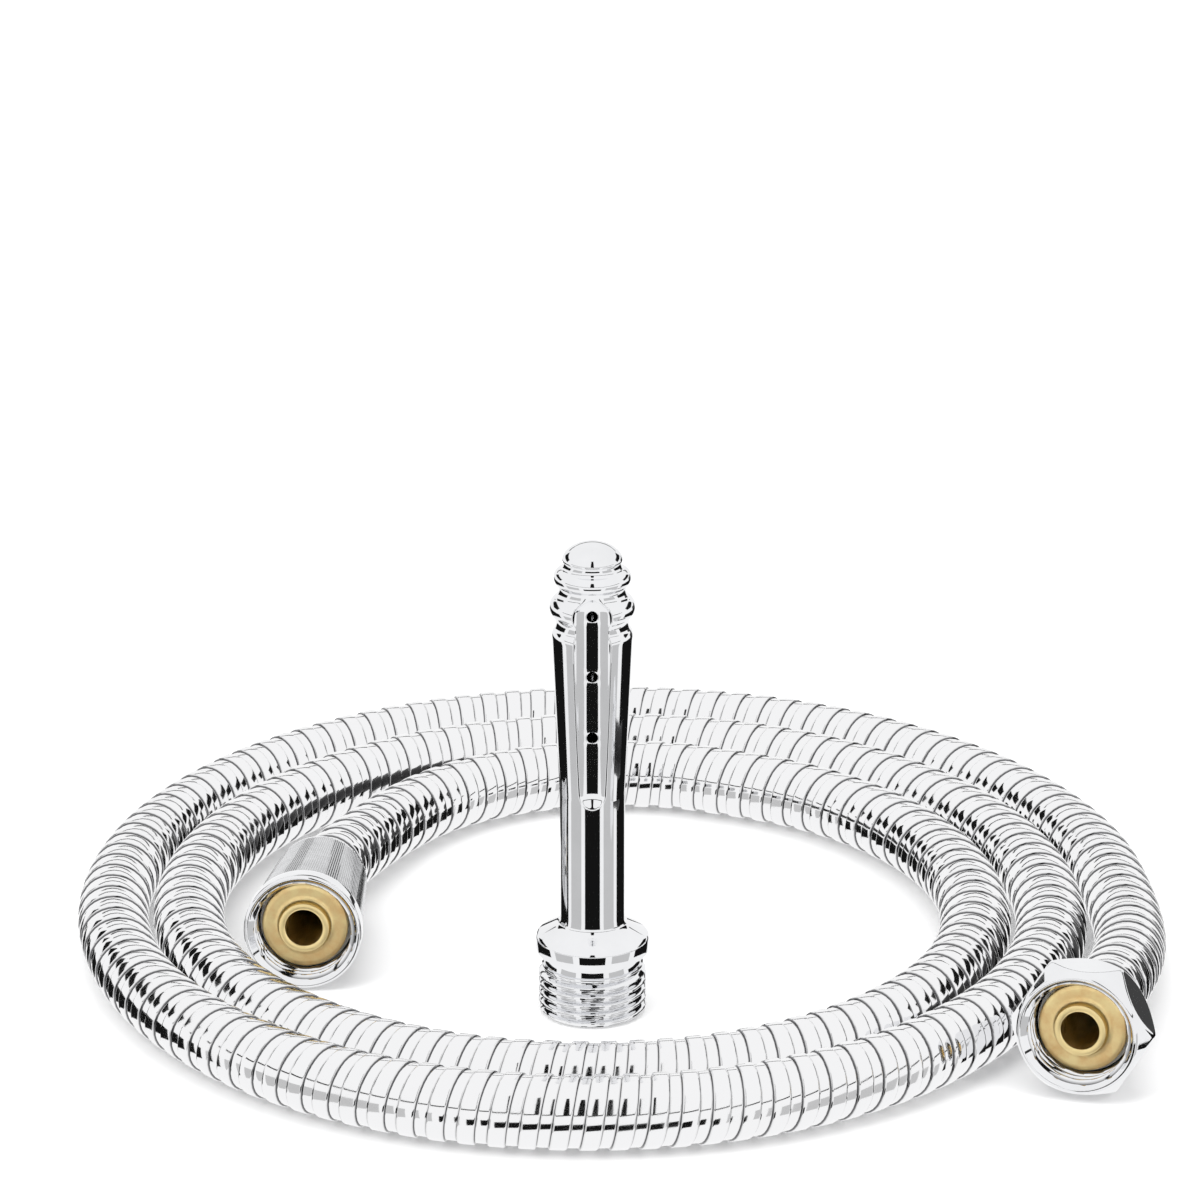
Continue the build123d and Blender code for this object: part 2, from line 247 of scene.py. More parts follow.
def thread_height(height, angle, pitch):
    """How far up its flank a right-hand thread stands, 0 to 1: a wave that climbs one pitch a turn,
    with its crest and root flattened and rounded."""
    wave = triangle_wave(height / pitch - angle / (2 * pi))
    eased = np.clip((wave - 0.18) / 0.64, 0, 1)
    return 0.25 * eased + 0.75 * eased * eased * (3 - 2 * eased)


# ------------------------------------------------------------------ materials


def new_material(name):
    material = bpy.data.materials.new(name)
    material.use_nodes = True
    nodes, links = material.node_tree.nodes, material.node_tree.links
    return material, nodes, links, nodes["Principled BSDF"]


def polish_group():
    """Polishing marks: broad smears and fine rubbed scratches, as a roughness mask and a height."""
    group = bpy.data.node_groups.get("Polish marks")
    if group:
        return group
    group = bpy.data.node_groups.new("Polish marks", "ShaderNodeTree")
    for name, way, kind in (
        ("Smear scale", "INPUT", "Float"), ("Scratch scale", "INPUT", "Float"), ("Along", "INPUT", "Vector"),
        ("Low", "INPUT", "Float"), ("High", "INPUT", "Float"),
        ("Roughness", "OUTPUT", "Float"), ("Height", "OUTPUT", "Float"), ("Smear", "OUTPUT", "Float"),
    ):
        group.interface.new_socket(name, in_out=way, socket_type=f"NodeSocket{kind}")
    nodes, links = group.nodes, group.links
    enter, leave = nodes.new("NodeGroupInput"), nodes.new("NodeGroupOutput")
    place = nodes.new("ShaderNodeTexCoord")
    smear = nodes.new("ShaderNodeTexNoise")
    smear.inputs["Detail"].default_value = 4.0
    smear.inputs["Roughness"].default_value = 0.6
    links.new(place.outputs["Object"], smear.inputs["Vector"])
    links.new(enter.outputs["Smear scale"], smear.inputs["Scale"])
    stretch = nodes.new("ShaderNodeVectorMath")
    stretch.operation = "MULTIPLY"
    links.new(place.outputs["Object"], stretch.inputs[0])
    links.new(enter.outputs["Along"], stretch.inputs[1])
    scratch = nodes.new("ShaderNodeTexNoise")
    scratch.inputs["Detail"].default_value = 6.0
    scratch.inputs["Roughness"].default_value = 0.75
    links.new(stretch.outputs[0], scratch.inputs["Vector"])
    links.new(enter.outputs["Scratch scale"], scratch.inputs["Scale"])
    both = nodes.new("ShaderNodeMath")
    both.operation = "MULTIPLY"
    links.new(smear.outputs["Fac"], both.inputs[0])
    links.new(scratch.outputs["Fac"], both.inputs[1])
    spread = nodes.new("ShaderNodeMapRange")
    spread.interpolation_type = "SMOOTHSTEP"
    spread.inputs["From Min"].default_value = 0.16
    spread.inputs["From Max"].default_value = 0.42
    links.new(both.outputs[0], spread.inputs["Value"])
    links.new(enter.outputs["Low"], spread.inputs["To Min"])
    links.new(enter.outputs["High"], spread.inputs["To Max"])
    links.new(spread.outputs["Result"], leave.inputs["Roughness"])
    links.new(scratch.outputs["Fac"], leave.inputs["Height"])
    links.new(smear.outputs["Fac"], leave.inputs["Smear"])
    return group


def add_polish(nodes, links, shader, smear, scratch, along, low, high, depth):
    """Places the polishing marks in a material: they set its roughness and, as a bump, its normal."""
    marks = nodes.new("ShaderNodeGroup")
    marks.node_tree = polish_group()
    marks.inputs["Smear scale"].default_value = smear
    marks.inputs["Scratch scale"].default_value = scratch
    marks.inputs["Along"].default_value = along
    marks.inputs["Low"].default_value = low
    marks.inputs["High"].default_value = high
    links.new(marks.outputs["Roughness"], shader.inputs["Roughness"])
    bump = nodes.new("ShaderNodeBump")
    bump.inputs["Strength"].default_value = 0.35
    bump.inputs["Distance"].default_value = depth
    links.new(marks.outputs["Height"], bump.inputs["Height"])
    links.new(bump.outputs["Normal"], shader.inputs["Normal"])
    return marks


def tinted(nodes, links, shader, mask, light, dark, low, high):
    """Base colour that runs from light to dark as a mask runs from low to high."""
    ramp = nodes.new("ShaderNodeMapRange")
    ramp.inputs["From Min"].default_value = low
    ramp.inputs["From Max"].default_value = high
    links.new(mask, ramp.inputs["Value"])
    mix = nodes.new("ShaderNodeMix")
    mix.data_type = "RGBA"
    mix.inputs["A"].default_value = (*light, 1)
    mix.inputs["B"].default_value = (*dark, 1)
    links.new(ramp.outputs["Result"], mix.inputs["Factor"])
    links.new(mix.outputs["Result"], shader.inputs["Base Color"])


def shaded_root(nodes, links, shader):
    """Painted shade: darkens the base colour towards the root of a thread or of the knurl, as read from the
    root attribute.
    """
    depth = nodes.new("ShaderNodeAttribute")
    depth.attribute_name = "root"
    ramp = nodes.new("ShaderNodeMapRange")
    ramp.inputs["From Min"].default_value = 0.25
    ramp.inputs["From Max"].default_value = 0.8
    ramp.inputs["To Min"].default_value = 1.0
    ramp.inputs["To Max"].default_value = 0.06
    shade = nodes.new("ShaderNodeVectorMath")
    shade.operation = "SCALE"
    links.new(depth.outputs["Fac"], ramp.inputs["Value"])
    links.new(ramp.outputs["Result"], shade.inputs["Scale"])
    links.new(shader.inputs["Base Color"].links[0].from_socket, shade.inputs[0])
    links.new(shade.outputs[0], shader.inputs["Base Color"])


def chrome_material(name):
    """Mirror plate with faint smears and hairline scratches round the axis."""
    finish = bpy.context.scene.sprayer_finish
    material, nodes, links, shader = new_material(name)
    shader.inputs["Metallic"].default_value = 1.0
    marks = add_polish(nodes, links, shader, 90.0, 260.0, (1.0, 1.0, 9.0), 0.025, 0.085, 2e-6)
    dull = tuple(0.93 * c for c in finish.chrome)
    tinted(nodes, links, shader, marks.outputs["Smear"], tuple(finish.chrome), dull, 0.35, 0.75)
    # painted shade in the roots of the nuts' threads, read from the root attribute; the nozzle's mesh carries
    # none
    shaded_root(nodes, links, shader)
    return material


def knurl_material():
    """The same plate where it is knurled and so less of a mirror; the rim's attribute keeps it bright."""
    finish = bpy.context.scene.sprayer_finish
    material, nodes, links, shader = new_material("knurled_plate")
    shader.inputs["Metallic"].default_value = 1.0
    marks = add_polish(nodes, links, shader, 120.0, 420.0, (1.0, 1.0, 1.0), 0.03, 0.10, 2e-6)
    rough = nodes.new("ShaderNodeMath")
    rough.operation = "ADD"
    cut = nodes.new("ShaderNodeAttribute")
    cut.attribute_name = "knurled"
    extra = nodes.new("ShaderNodeMath")
    extra.operation = "MULTIPLY"
    extra.inputs[1].default_value = 0.03
    links.new(cut.outputs["Fac"], extra.inputs[0])
    links.new(marks.outputs["Roughness"], rough.inputs[0])
    links.new(extra.outputs[0], rough.inputs[1])
    links.new(rough.outputs[0], shader.inputs["Roughness"])
    dull = tuple(0.9 * c for c in finish.chrome)
    tinted(nodes, links, shader, marks.outputs["Smear"], tuple(finish.chrome), dull, 0.35, 0.75)
    # painted shade in the thread's roots and the knurl's valleys, read from the root attribute
    shaded_root(nodes, links, shader)
    return material


def steel_material():
    """Bright strip steel; darker where the strip steps down into its own seam, partly the dark gap of the
    joint and partly painted shade in the step, with the casing's end faces and bore in full painted shade.
    """
    finish = bpy.context.scene.sprayer_finish
    material, nodes, links, shader = new_material("hose_steel")
    shader.inputs["Metallic"].default_value = 1.0
    add_polish(nodes, links, shader, 60.0, 300.0, (1.0, 1.0, 1.0), 0.05, 0.14, 3e-6)
    seam = nodes.new("ShaderNodeAttribute")
    seam.attribute_name = "seam"
    tinted(nodes, links, shader, seam.outputs["Fac"], tuple(finish.steel), tuple(finish.steel_gap), 0.0, 1.0)
    return material


def brass_material():
    """Turned brass with a mottled tarnish and fine lathe rings."""
    finish = bpy.context.scene.sprayer_finish
    material, nodes, links, shader = new_material("turned_brass")
    shader.inputs["Metallic"].default_value = 1.0
    marks = add_polish(nodes, links, shader, 260.0, 900.0, (1.0, 1.0, 1.0), 0.30, 0.46, 1.2e-5)
    # the raised boss is drawn lighter than the flange
    boss = nodes.new("ShaderNodeAttribute")
    boss.attribute_name = "boss"
    boss_lighter = nodes.new("ShaderNodeMath")
    boss_lighter.operation = "MULTIPLY_ADD"
    boss_lighter.inputs[1].default_value = -0.5
    links.new(boss.outputs["Fac"], boss_lighter.inputs[0])
    links.new(marks.outputs["Smear"], boss_lighter.inputs[2])
    tinted(nodes, links, shader, boss_lighter.outputs[0], tuple(finish.brass), tuple(finish.brass_dull), 0.38, 0.66)
    return material


def rubber_material():
    """Black inner tube with a faint dusty bloom."""
    finish = bpy.context.scene.sprayer_finish
    material, nodes, links, shader = new_material("tube_rubber")
    marks = add_polish(nodes, links, shader, 70.0, 500.0, (1.0, 1.0, 1.0), 0.42, 0.62, 2e-5)
    bloom = tuple(c + 0.02 for c in finish.rubber)
    tinted(nodes, links, shader, marks.outputs["Smear"], tuple(finish.rubber), bloom, 0.4, 0.8)
    return material


def nylon_material():
    """Moulded nylon, off-white and faintly cloudy."""
    finish = bpy.context.scene.sprayer_finish
    material, nodes, links, shader = new_material("bush_nylon")
    shader.inputs["Subsurface Weight"].default_value = 0.05
    marks = add_polish(nodes, links, shader, 150.0, 700.0, (1.0, 1.0, 1.0), 0.35, 0.5, 1e-5)
    cloudy = tuple(0.9 * c for c in finish.nylon)
    tinted(nodes, links, shader, marks.outputs["Smear"], tuple(finish.nylon), cloudy, 0.4, 0.75)
    return material


def ferrule_material():
    """Drawn stainless steel with lengthwise die lines."""
    finish = bpy.context.scene.sprayer_finish
    material, nodes, links, shader = new_material("ferrule_steel")
    shader.inputs["Metallic"].default_value = 1.0
    marks = add_polish(nodes, links, shader, 110.0, 800.0, (1.0, 0.1, 1.0), 0.18, 0.34, 6e-6)
    worn = tuple(0.85 * c for c in finish.ferrule)
    tinted(nodes, links, shader, marks.outputs["Smear"], tuple(finish.ferrule), worn, 0.4, 0.75)
    return material


# ------------------------------------------------------------------ hose


def coil_radius(angle):
    """Spiral radius at a turn angle in degrees: one spacing a turn, a little more at the back."""
    hose = bpy.context.scene.sprayer_hose
    spacing = hose.coil_spacing + hose.coil_back_gap * np.cos(np.radians(angle))
    return hose.coil_first + spacing * angle / 360


def coil_points(angles):
    """Points of the spiral in plan, clockwise from the back, as an array."""
    hose = bpy.context.scene.sprayer_hose
    radius, turn = coil_radius(angles), np.radians(angles)
    x = hose.coil_x + hose.coil_ratio * radius * np.sin(turn)
    y = hose.coil_y + radius * np.cos(turn)
    return np.stack([x, y, np.full_like(x, hose.radius)], -1)


def coil_tangent(angle):
    """The way that the hose runs at a turn angle."""
    ends = coil_points(np.array([angle - 0.01, angle + 0.01]))
    run = ends[1] - ends[0]
    return run / np.linalg.norm(run)


COIL_START, COIL_END, COIL_STEPS = 20.0, 810.0, 53
ROUND_NUT_BACK, ROUND_STRAIGHT_END = 0.024, 0.038
ROUND_LEAD_CORNERS = ((-0.0438, 0.0738, 0.007), (-0.0305, 0.0926, 0.007), (-0.0095, 0.1038, 0.007))
HEX_NUT_BACK, HEX_STRAIGHT_END = 0.020, 0.040
COIL_LEAD_IN, COIL_LEAD_OUT = 0.013, 0.016


def hose_route():
    """The hose's control points: held straight in the round nut, round to the spiral's inner end,
    the spiral by a loop, then off its outer end and straight into the hexagon nut."""
    fittings = bpy.context.scene.sprayer_fittings
    round_mouth, round_turn = hose_end("round_nut_spin")
    hex_mouth, hex_turn = hose_end("hex_nut_spin")
    behind = fittings.flange_depth + fittings.neck_length + fittings.lip
    points = [round_mouth - round_turn[:, 2] * back
              for back in (fittings.round_recess + behind, ROUND_NUT_BACK, ROUND_STRAIGHT_END)]
    points += [np.array(corner) for corner in ROUND_LEAD_CORNERS]
    first = coil_points(np.array([COIL_START]))[0]
    points.append(first - coil_tangent(COIL_START) * COIL_LEAD_IN)
    step = (COIL_END - COIL_START) / COIL_STEPS
    centre = np.array([bpy.context.scene.sprayer_hose.coil_x, bpy.context.scene.sprayer_hose.coil_y, 0])
    for place in range(COIL_STEPS + 1):
        point = coil_points(np.array([COIL_START + step * place]))[0]
        if 0 < place < COIL_STEPS:
            out = (point - centre) * np.array([1, 1, 0])
            point = point + out * (1 / cos(radians(step / 2)) - 1)
        points.append(point)
    points.append(points[-1] + coil_tangent(COIL_END) * COIL_LEAD_OUT)
    points += [hex_mouth - hex_turn[:, 2] * back
               for back in (HEX_STRAIGHT_END, HEX_NUT_BACK, fittings.hex_recess + behind)]
    return points


def smooth_line(points):
    """The NURBS line that has these control points, as an array of points along it."""
    curve = bpy.data.curves.new("hose_line", "CURVE")
    curve.dimensions = "3D"
    curve.resolution_u = 24
    spline = curve.splines.new("NURBS")
    spline.points.add(len(points) - 1)
    spline.points.foreach_set("co", np.array([[*p, 1.0] for p in points]).ravel())
    spline.order_u = 3
    spline.use_endpoint_u = True
    holder = bpy.data.objects.new("hose_line", curve)
    line = bpy.data.meshes.new_from_object(holder)
    found = np.zeros(len(line.vertices) * 3)
    line.vertices.foreach_get("co", found)
    bpy.data.objects.remove(holder)
    bpy.data.curves.remove(curve)
    bpy.data.meshes.remove(line)
    return found.reshape(-1, 3)


class Line:
    """A line through space that gives its point, its side and its up at any distance along it."""

    def __init__(self, points):
        steps = np.linalg.norm(np.diff(points, axis=0), axis=1)
        self.points = points
        self.at = np.concatenate([[0], np.cumsum(steps)])
        self.length = self.at[-1]
        run = np.gradient(points, self.at, axis=0)
        run /= np.linalg.norm(run, axis=1, keepdims=True)
        side = np.cross(run, [0, 0, 1])
        side /= np.linalg.norm(side, axis=1, keepdims=True)
        self.side, self.up = side, np.cross(side, run)

    def read(self, values, distance):
        return np.stack([np.interp(distance, self.at, values[:, k]) for k in range(3)], -1)

    def around(self, distance, radius, angle):
        """Points at an angle round the line: 0 is at its right-hand side and a quarter turn is up."""
        centre = self.read(self.points, distance)
        side, up = self.read(self.side, distance), self.read(self.up, distance)
        return centre + radius[..., None] * (np.cos(angle)[..., None] * side + np.sin(angle)[..., None] * up)


def strip_section():
    """One pitch of the casing: shares of the pitch, radii, and how deep in the seam each lies, which sets its
    painted shade.
    """
    hose = bpy.context.scene.sprayer_hose
    high, low = hose.radius, hose.low_radius
    middle = (high + low) / 2
    return np.array([
        (0.00, low - 0.22 * MM, 1.0),
        (0.025, low - 0.02 * MM, 0.2),
        (0.06, low, 0.0),
        (0.36, low, 0.0),
        (0.385, low - 0.02 * MM, 0.2),
        (0.405, low - 0.22 * MM, 1.0),
        (0.415, middle, 0.8),
        (0.43, high - 0.07 * MM, 0.1),
        (0.48, high, 0.0),
        (0.92, high, 0.0),
        (0.97, high - 0.07 * MM, 0.1),
        (0.99, middle, 0.8),
    ])


class SPRAYER_OT_hose(bpy.types.Operator):
    """Interlocked strip casing along the hose's line. Its radius follows the strip's section, which
    climbs one pitch in each turn round the line, so that the bands wind round it as one helix."""

    bl_idname = "sprayer.hose"
    bl_label = "Hose casing"

    def execute(self, context):
        hose = context.scene.sprayer_hose
        line = Line(smooth_line(hose_route()))
        section = strip_section()
        turns = int(np.ceil(line.length / hose.pitch)) + 2
        share = np.concatenate([section[:, 0] + turn for turn in range(-1, turns)])
        radius = np.tile(section[:, 1], turns + 1)
        seam = np.tile(section[:, 2], turns + 1)
        angle = np.linspace(0, 2 * pi, hose.sides + 1)
        distance = hose.pitch * (share[:, None] + angle[None, :] / (2 * pi))
        inside = (distance > 0) & (distance < line.length)
        distance = np.clip(distance, 0, line.length)
        radius = np.where(inside, radius[:, None], hose.low_radius)
        outer = line.around(distance, radius, np.broadcast_to(angle, distance.shape))
        # painted shade: the seam's weight darkens the steps, and the casing beyond its ends takes the full
        # seam colour
        depth = np.where(inside, seam[:, None], 1.0)
        wall_rows = int(line.length / (1.5 * hose.pitch))
        wall_at = np.linspace(0, line.length, wall_rows)[:, None] + 0 * angle[None, :]
        around = np.broadcast_to(angle, wall_at.shape)
        wall = line.around(wall_at, np.full(wall_at.shape, hose.inner_radius), around)
        ends = [line.around(wall_at[row][None], np.full((1, len(angle)), hose.low_radius), angle[None])
                for row in (0, -1)]
        loop = np.concatenate([ends[0], outer, ends[1], wall[::-1]])
        # the end faces and the bore take the full seam colour as painted shade
        depth = np.concatenate([np.ones((1, len(angle))), depth, np.ones((1, len(angle))),
                                np.ones(wall_at.shape)])
        faces = grid_faces(len(loop), len(angle), wrap_columns=False, wrap_rows=True)
        stands_for = ["hose_coil", "hose_casing_round_end", "hose_casing_hex_end"]
        corners = loop.reshape(-1, 3)
        spans = [np.linalg.norm(corners[faces[:, a]] - corners[faces[:, b]], axis=1) > 1e-6
                 for a, b in ((0, 3), (1, 2))]
        piece = make_piece("hose_casing", loop, faces[spans[0] | spans[1]], "hose", stands_for,
                           steel_material(), {"seam": depth})
        # the plated pieces mirror the studio, and not the hose beside them
        piece.visible_glossy = False
        return {"FINISHED"}


# ------------------------------------------------------------------ nozzle


def upper_outline():
    """Radius and height of the nozzle's outside above the straight tube, as a dense line: a taper,
    a shoulder, two grooves and two rings as arcs, a neck, and a dome as a cubic curve."""
    nozzle = bpy.context.scene.sprayer_nozzle
    foot, high, top = nozzle.dome_radius / MM, nozzle.dome_foot / MM, nozzle.height / MM
    start, shoulder = (nozzle.tube_radius / MM, nozzle.taper_start / MM), nozzle.shoulder_radius / MM
    level = nozzle.shoulder_height / MM
    arcs = [
        ((shoulder, level), (shoulder - 0.13, level + 0.65), (7.15, 78.5)),
        ((7.15, 78.5), (7.0, 79.7), (7.25, 80.85)),
        ((7.25, 80.85), (8.19, 82.85), (6.95, 84.75)),
        ((6.75, 85.0), (6.44, 86.3), (6.75, 87.3)),
        ((6.75, 87.3), (7.4, 88.75), (6.2, 90.2)),
        ((5.78, 90.45), (5.58, 91.35), (foot, high)),
    ]
    share = np.linspace(0, 1, 30)[:, None]
    dome = ((1 - share) ** 3 * (foot, high) + 3 * (1 - share) ** 2 * share * (foot - 0.35, high + 1.7)
            + 3 * (1 - share) * share ** 2 * (foot / 2, top) + share ** 3 * (0, top))
    return MM * np.concatenate([[start], *(arc_points(*arc, 16) for arc in arcs), dome[1:]])


def lower_outline():
    """Radius and height of the outside from the thread's top to the taper, with small edge radii."""
    nozzle = bpy.context.scene.sprayer_nozzle
    relief, collar, tube = nozzle.relief_radius, nozzle.collar_radius, nozzle.tube_radius
    under, top, foot = nozzle.relief_top, nozzle.collar_top, nozzle.tube_foot
    root = bpy.context.scene.sprayer_thread.minor
    edge = 0.3 * MM
    thread_top = nozzle.thread_top
    points = [
        (root, thread_top),
        (root, thread_top + 0.15 * MM),
        (relief + 0.35 * MM, thread_top + 0.3 * MM),
        (relief + 0.4 * MM, thread_top + 0.5 * MM),
        (relief + 0.35 * MM, thread_top + 0.7 * MM),
        (relief, thread_top + 0.82 * MM),
        (relief, under - 0.3 * MM),
        (relief + 0.06 * MM, under - 0.08 * MM),
        (relief + 0.3 * MM, under),
        (collar - 1.2 * edge, under),
        (collar - 0.3 * edge, under + 0.3 * edge),
        (collar, under + 1.2 * edge),
        (collar, top - 0.3 * MM),
        (collar - 0.03 * MM, top - 0.08 * MM),
        (collar - 0.14 * MM, top + 0.06 * MM),
        (collar - 0.34 * MM, top + 0.30 * MM),
        (collar - 0.55 * MM, top + 0.47 * MM),
        (tube + 1.0 * MM, foot - 0.55 * MM),
        (tube + 0.35 * MM, foot - 0.1 * MM),
        (tube + 0.08 * MM, foot + 0.3 * MM),
        (tube, foot + 0.9 * MM),
    ]
    straight = np.linspace(foot + 2 * MM, nozzle.taper_start - 3 * MM, 14)
    return np.concatenate([points, np.stack([np.full(14, tube), straight], 1)])


JET_HEIGHTS = (58.0, 70.3, 82.4)
JET_CELLS = 8
PATCH_CELLS = 3


def patch_offsets():
    """Offsets across a jet's patch: even in angle over the jet, then the edge of its bevel, a narrow
    strip that keeps the bevel's shading to itself, and the margin."""
    nozzle = bpy.context.scene.sprayer_nozzle
    radius, bevel = nozzle.jet_radius, nozzle.jet_chamfer
    inner = radius * np.tan(np.linspace(-pi / 4, pi / 4, JET_CELLS + 1))
    outer = np.array([radius + bevel, radius + 2 * bevel, nozzle.jet_margin])
    return np.concatenate([-outer[::-1], inner, outer])


def nozzle_heights():
    """Heights of the mesh rows above the straight tube: close at the rings and flute ends, and in
    step with the jets' patches where there is one."""
    nozzle = bpy.context.scene.sprayer_nozzle
    offsets = patch_offsets()
    heights = []
    level = nozzle.taper_start - 2.6 * MM
    for jet in JET_HEIGHTS:
        low, high = jet * MM + offsets[0], jet * MM + offsets[-1]
        spacing = 0.16 * MM if jet == JET_HEIGHTS[0] else 0.34 * MM
        knee = min(low, nozzle.flute_bottom + 1.0 * MM) if jet == JET_HEIGHTS[0] else low
        heights.append(np.arange(level, knee - 0.1 * MM, spacing))
        if knee < low:
            heights.append(np.arange(knee, low - 0.2 * MM, 0.5 * MM))
        heights.append(jet * MM + offsets)
        level = high + 0.2 * MM
    heights.append(np.arange(level, nozzle.dome_foot, 0.14 * MM))
    outline = upper_outline()
    dome = outline[outline[:, 1] > nozzle.dome_foot + 0.05 * MM]
    heights.append(dome[:, 1])
    return np.concatenate(heights)


def flute_floor(x, z):
    """Distance of the flute's floor from the plane through the axis: a ball-ended bar's underside."""
    nozzle = bpy.context.scene.sprayer_nozzle
    beyond = np.maximum(nozzle.flute_bottom - z, 0) + np.maximum(z - nozzle.flute_top, 0)
    left = nozzle.flute_radius ** 2 - beyond ** 2 - x ** 2
    return np.where(left > 0, nozzle.flute_offset - np.sqrt(np.maximum(left, 0)), 1.0)


def flute_half_width(radius, z):
    """Where the flute's floor breaks through the outside: the crossing of two circles."""
    nozzle = bpy.context.scene.sprayer_nozzle
    beyond = np.maximum(nozzle.flute_bottom - z, 0) + np.maximum(z - nozzle.flute_top, 0)
    cut = np.maximum(nozzle.flute_radius ** 2 - beyond ** 2, 0)
    cosine = (radius ** 2 + nozzle.flute_offset ** 2 - cut) / (2 * radius * nozzle.flute_offset)
    return radius * np.sqrt(np.maximum(1 - np.minimum(cosine, 1) ** 2, 0))


def column_places(radius, z):
    """Signed sideways places of the front half's mesh columns at each row, as angles: the middle
    columns serve the jets, the next follow the flute's edge, and the rest spread round the side."""
    nozzle = bpy.context.scene.sprayer_nozzle
    edge = np.maximum(flute_half_width(radius, z), 1.9 * MM)
    reach = np.minimum(nozzle.jet_margin, 0.72 * edge)
    offsets = patch_offsets() / nozzle.jet_margin
    half = offsets[len(offsets) // 2:][None, :] * reach[:, None]
    band = 0.35 * MM
    share = np.linspace(0, 1, 5)[1:][None, :]
    slope = reach[:, None] + (edge - band - reach)[:, None] * share
    lip = edge[:, None] + band * np.array([-0.55, -0.2, 0.1, 0.45, 1.0])[None, :]
    x = np.concatenate([half, slope, lip], 1)
    angle = np.arcsin(np.clip(x / radius[:, None], -1, 1))
    side = angle[:, -1:] + (pi / 2 - angle[:, -1:]) * np.linspace(0, 1, 15)[None, 1:-1]
    angle = np.concatenate([angle, side], 1)
    return np.concatenate([-angle[:, :0:-1], angle], 1)


def around_jets(x, z, middle):
    """Draws the square patch round each jet into rings: a square of half side m becomes the circle
    of radius m at the jet's edge, and stays a square at the patch's edge."""
    nozzle = bpy.context.scene.sprayer_nozzle
    x, z = x.copy(), z.copy()
    for jet in JET_HEIGHTS:
        dz = z - jet * MM
        reach = np.maximum(np.abs(x), np.abs(dz))
        near = (reach <= nozzle.jet_margin * 1.0001) & (reach > nozzle.jet_radius * 0.999) & middle
        share = np.clip((reach - nozzle.jet_radius) / (nozzle.jet_margin - nozzle.jet_radius), 0, 1)
        grow = reach / np.maximum(np.hypot(x, dz), 1e-9) * (1 - share) + share
        x = np.where(near, x * grow, x)
        z = np.where(near, jet * MM + dz * grow, z)
    return x, z


def jet_chamfer(x, z):
    """How far the surface is sunk beside a jet: a narrow cone that ends at the jet's edge."""
    nozzle = bpy.context.scene.sprayer_nozzle
    wide = nozzle.jet_chamfer
    beside = np.min([np.hypot(x, z - jet * MM) for jet in JET_HEIGHTS], axis=0) - nozzle.jet_radius
    return 0.8 * np.clip(wide - beside, 0, wide)


def nozzle_surfaces():
    """The outside and the bore of the nozzle as two grids with the same columns, and the rows."""
    nozzle, thread = bpy.context.scene.sprayer_nozzle, bpy.context.scene.sprayer_thread
    outline = np.concatenate([lower_outline(), upper_outline()])
    upper = nozzle_heights()
    upper_radius = np.interp(upper, outline[:, 1], outline[:, 0])
    upper_radius[-1] = 0
    angle_ref = column_places(np.maximum(upper_radius, 2.6 * MM), np.minimum(upper, 88 * MM))
    lower = lower_outline()
    thread_rows = np.linspace(0, nozzle.thread_top, 92)
    edge = nozzle.inlet_radius + np.minimum(thread_rows, nozzle.thread_top - thread_rows) * 1.1
    root = np.full(len(thread_rows), thread.minor - thread.gap)
    rows_z = np.concatenate([thread_rows, lower[1:, 1], upper])
    rows_r = np.concatenate([root, lower[1:, 0], upper_radius])
    low_count = len(thread_rows) + len(lower) - 1
    angles = np.concatenate([np.repeat(angle_ref[:1], low_count, 0), angle_ref])
    centre = angles.shape[1] // 2
    halves_outer, halves_inner = [], []
    z = np.repeat(rows_z[:, None], angles.shape[1], 1)
    radius = np.repeat(rows_r[:, None], angles.shape[1], 1)
    middle = np.zeros(angles.shape, bool)
    wide = JET_CELLS // 2 + PATCH_CELLS
    middle[:, centre - wide:centre + wide + 1] = True
    for facing in (0, 1):
        turned = angles + pi * facing
        ridge = thread_height(thread_rows[:, None], turned[:len(thread_rows)], thread.pitch)
        crest = thread.major - thread.minor
        radius[:len(thread_rows)] = np.minimum(root[:, None] + crest * ridge, edge[:, None])
        x = radius * np.sin(angles)
        flat = radius * np.cos(angles)
        fluted = z > nozzle.taper_start - 2.7 * MM
        moved_x, moved_z = around_jets(x, z, middle & fluted)
        moved_radius = np.interp(moved_z, outline[:, 1], outline[:, 0])
        jets = middle & fluted & (z > 55 * MM) & (z < 85 * MM)
        out = np.where(jets, np.sqrt(np.maximum(moved_radius ** 2 - moved_x ** 2, 0)), flat)
        floor = flute_floor(moved_x, moved_z)
        out = np.where(fluted, smooth_min(out, floor, nozzle.flute_edge), out)
        out = out - np.where(jets, jet_chamfer(moved_x, moved_z), 0)
        sign = 1 - 2 * facing
        halves_outer.append(np.stack([sign * moved_x, -sign * out, moved_z], -1))
        bore = bore_radius(rows_z)
        spread = np.where(middle, np.clip(moved_x / nozzle.bore_radius, -1, 1), 0)
        bore_angle = bore_angles(angles, np.arcsin(spread), middle)
        halves_inner.append(np.stack([
            sign * bore[:, None] * np.sin(bore_angle),
            -sign * bore[:, None] * np.cos(bore_angle),
            moved_z,
        ], -1))
    outer = np.concatenate([halves_outer[0][:, :-1], halves_outer[1][:, :-1]], 1)
    inner = np.concatenate([halves_inner[0][:, :-1], halves_inner[1][:, :-1]], 1)
    return outer, inner, rows_z, centre, angles.shape[1] - 1


def bore_radius(z):
    """The water way's radius at a height: a wide inlet, a drill-pointed step, and the long bore."""
    nozzle = bpy.context.scene.sprayer_nozzle
    step = (nozzle.inlet_bore_radius - nozzle.bore_radius) / tan(radians(59))
    return np.interp(z, [nozzle.inlet_bore_depth, nozzle.inlet_bore_depth + step],
                     [nozzle.inlet_bore_radius, nozzle.bore_radius])


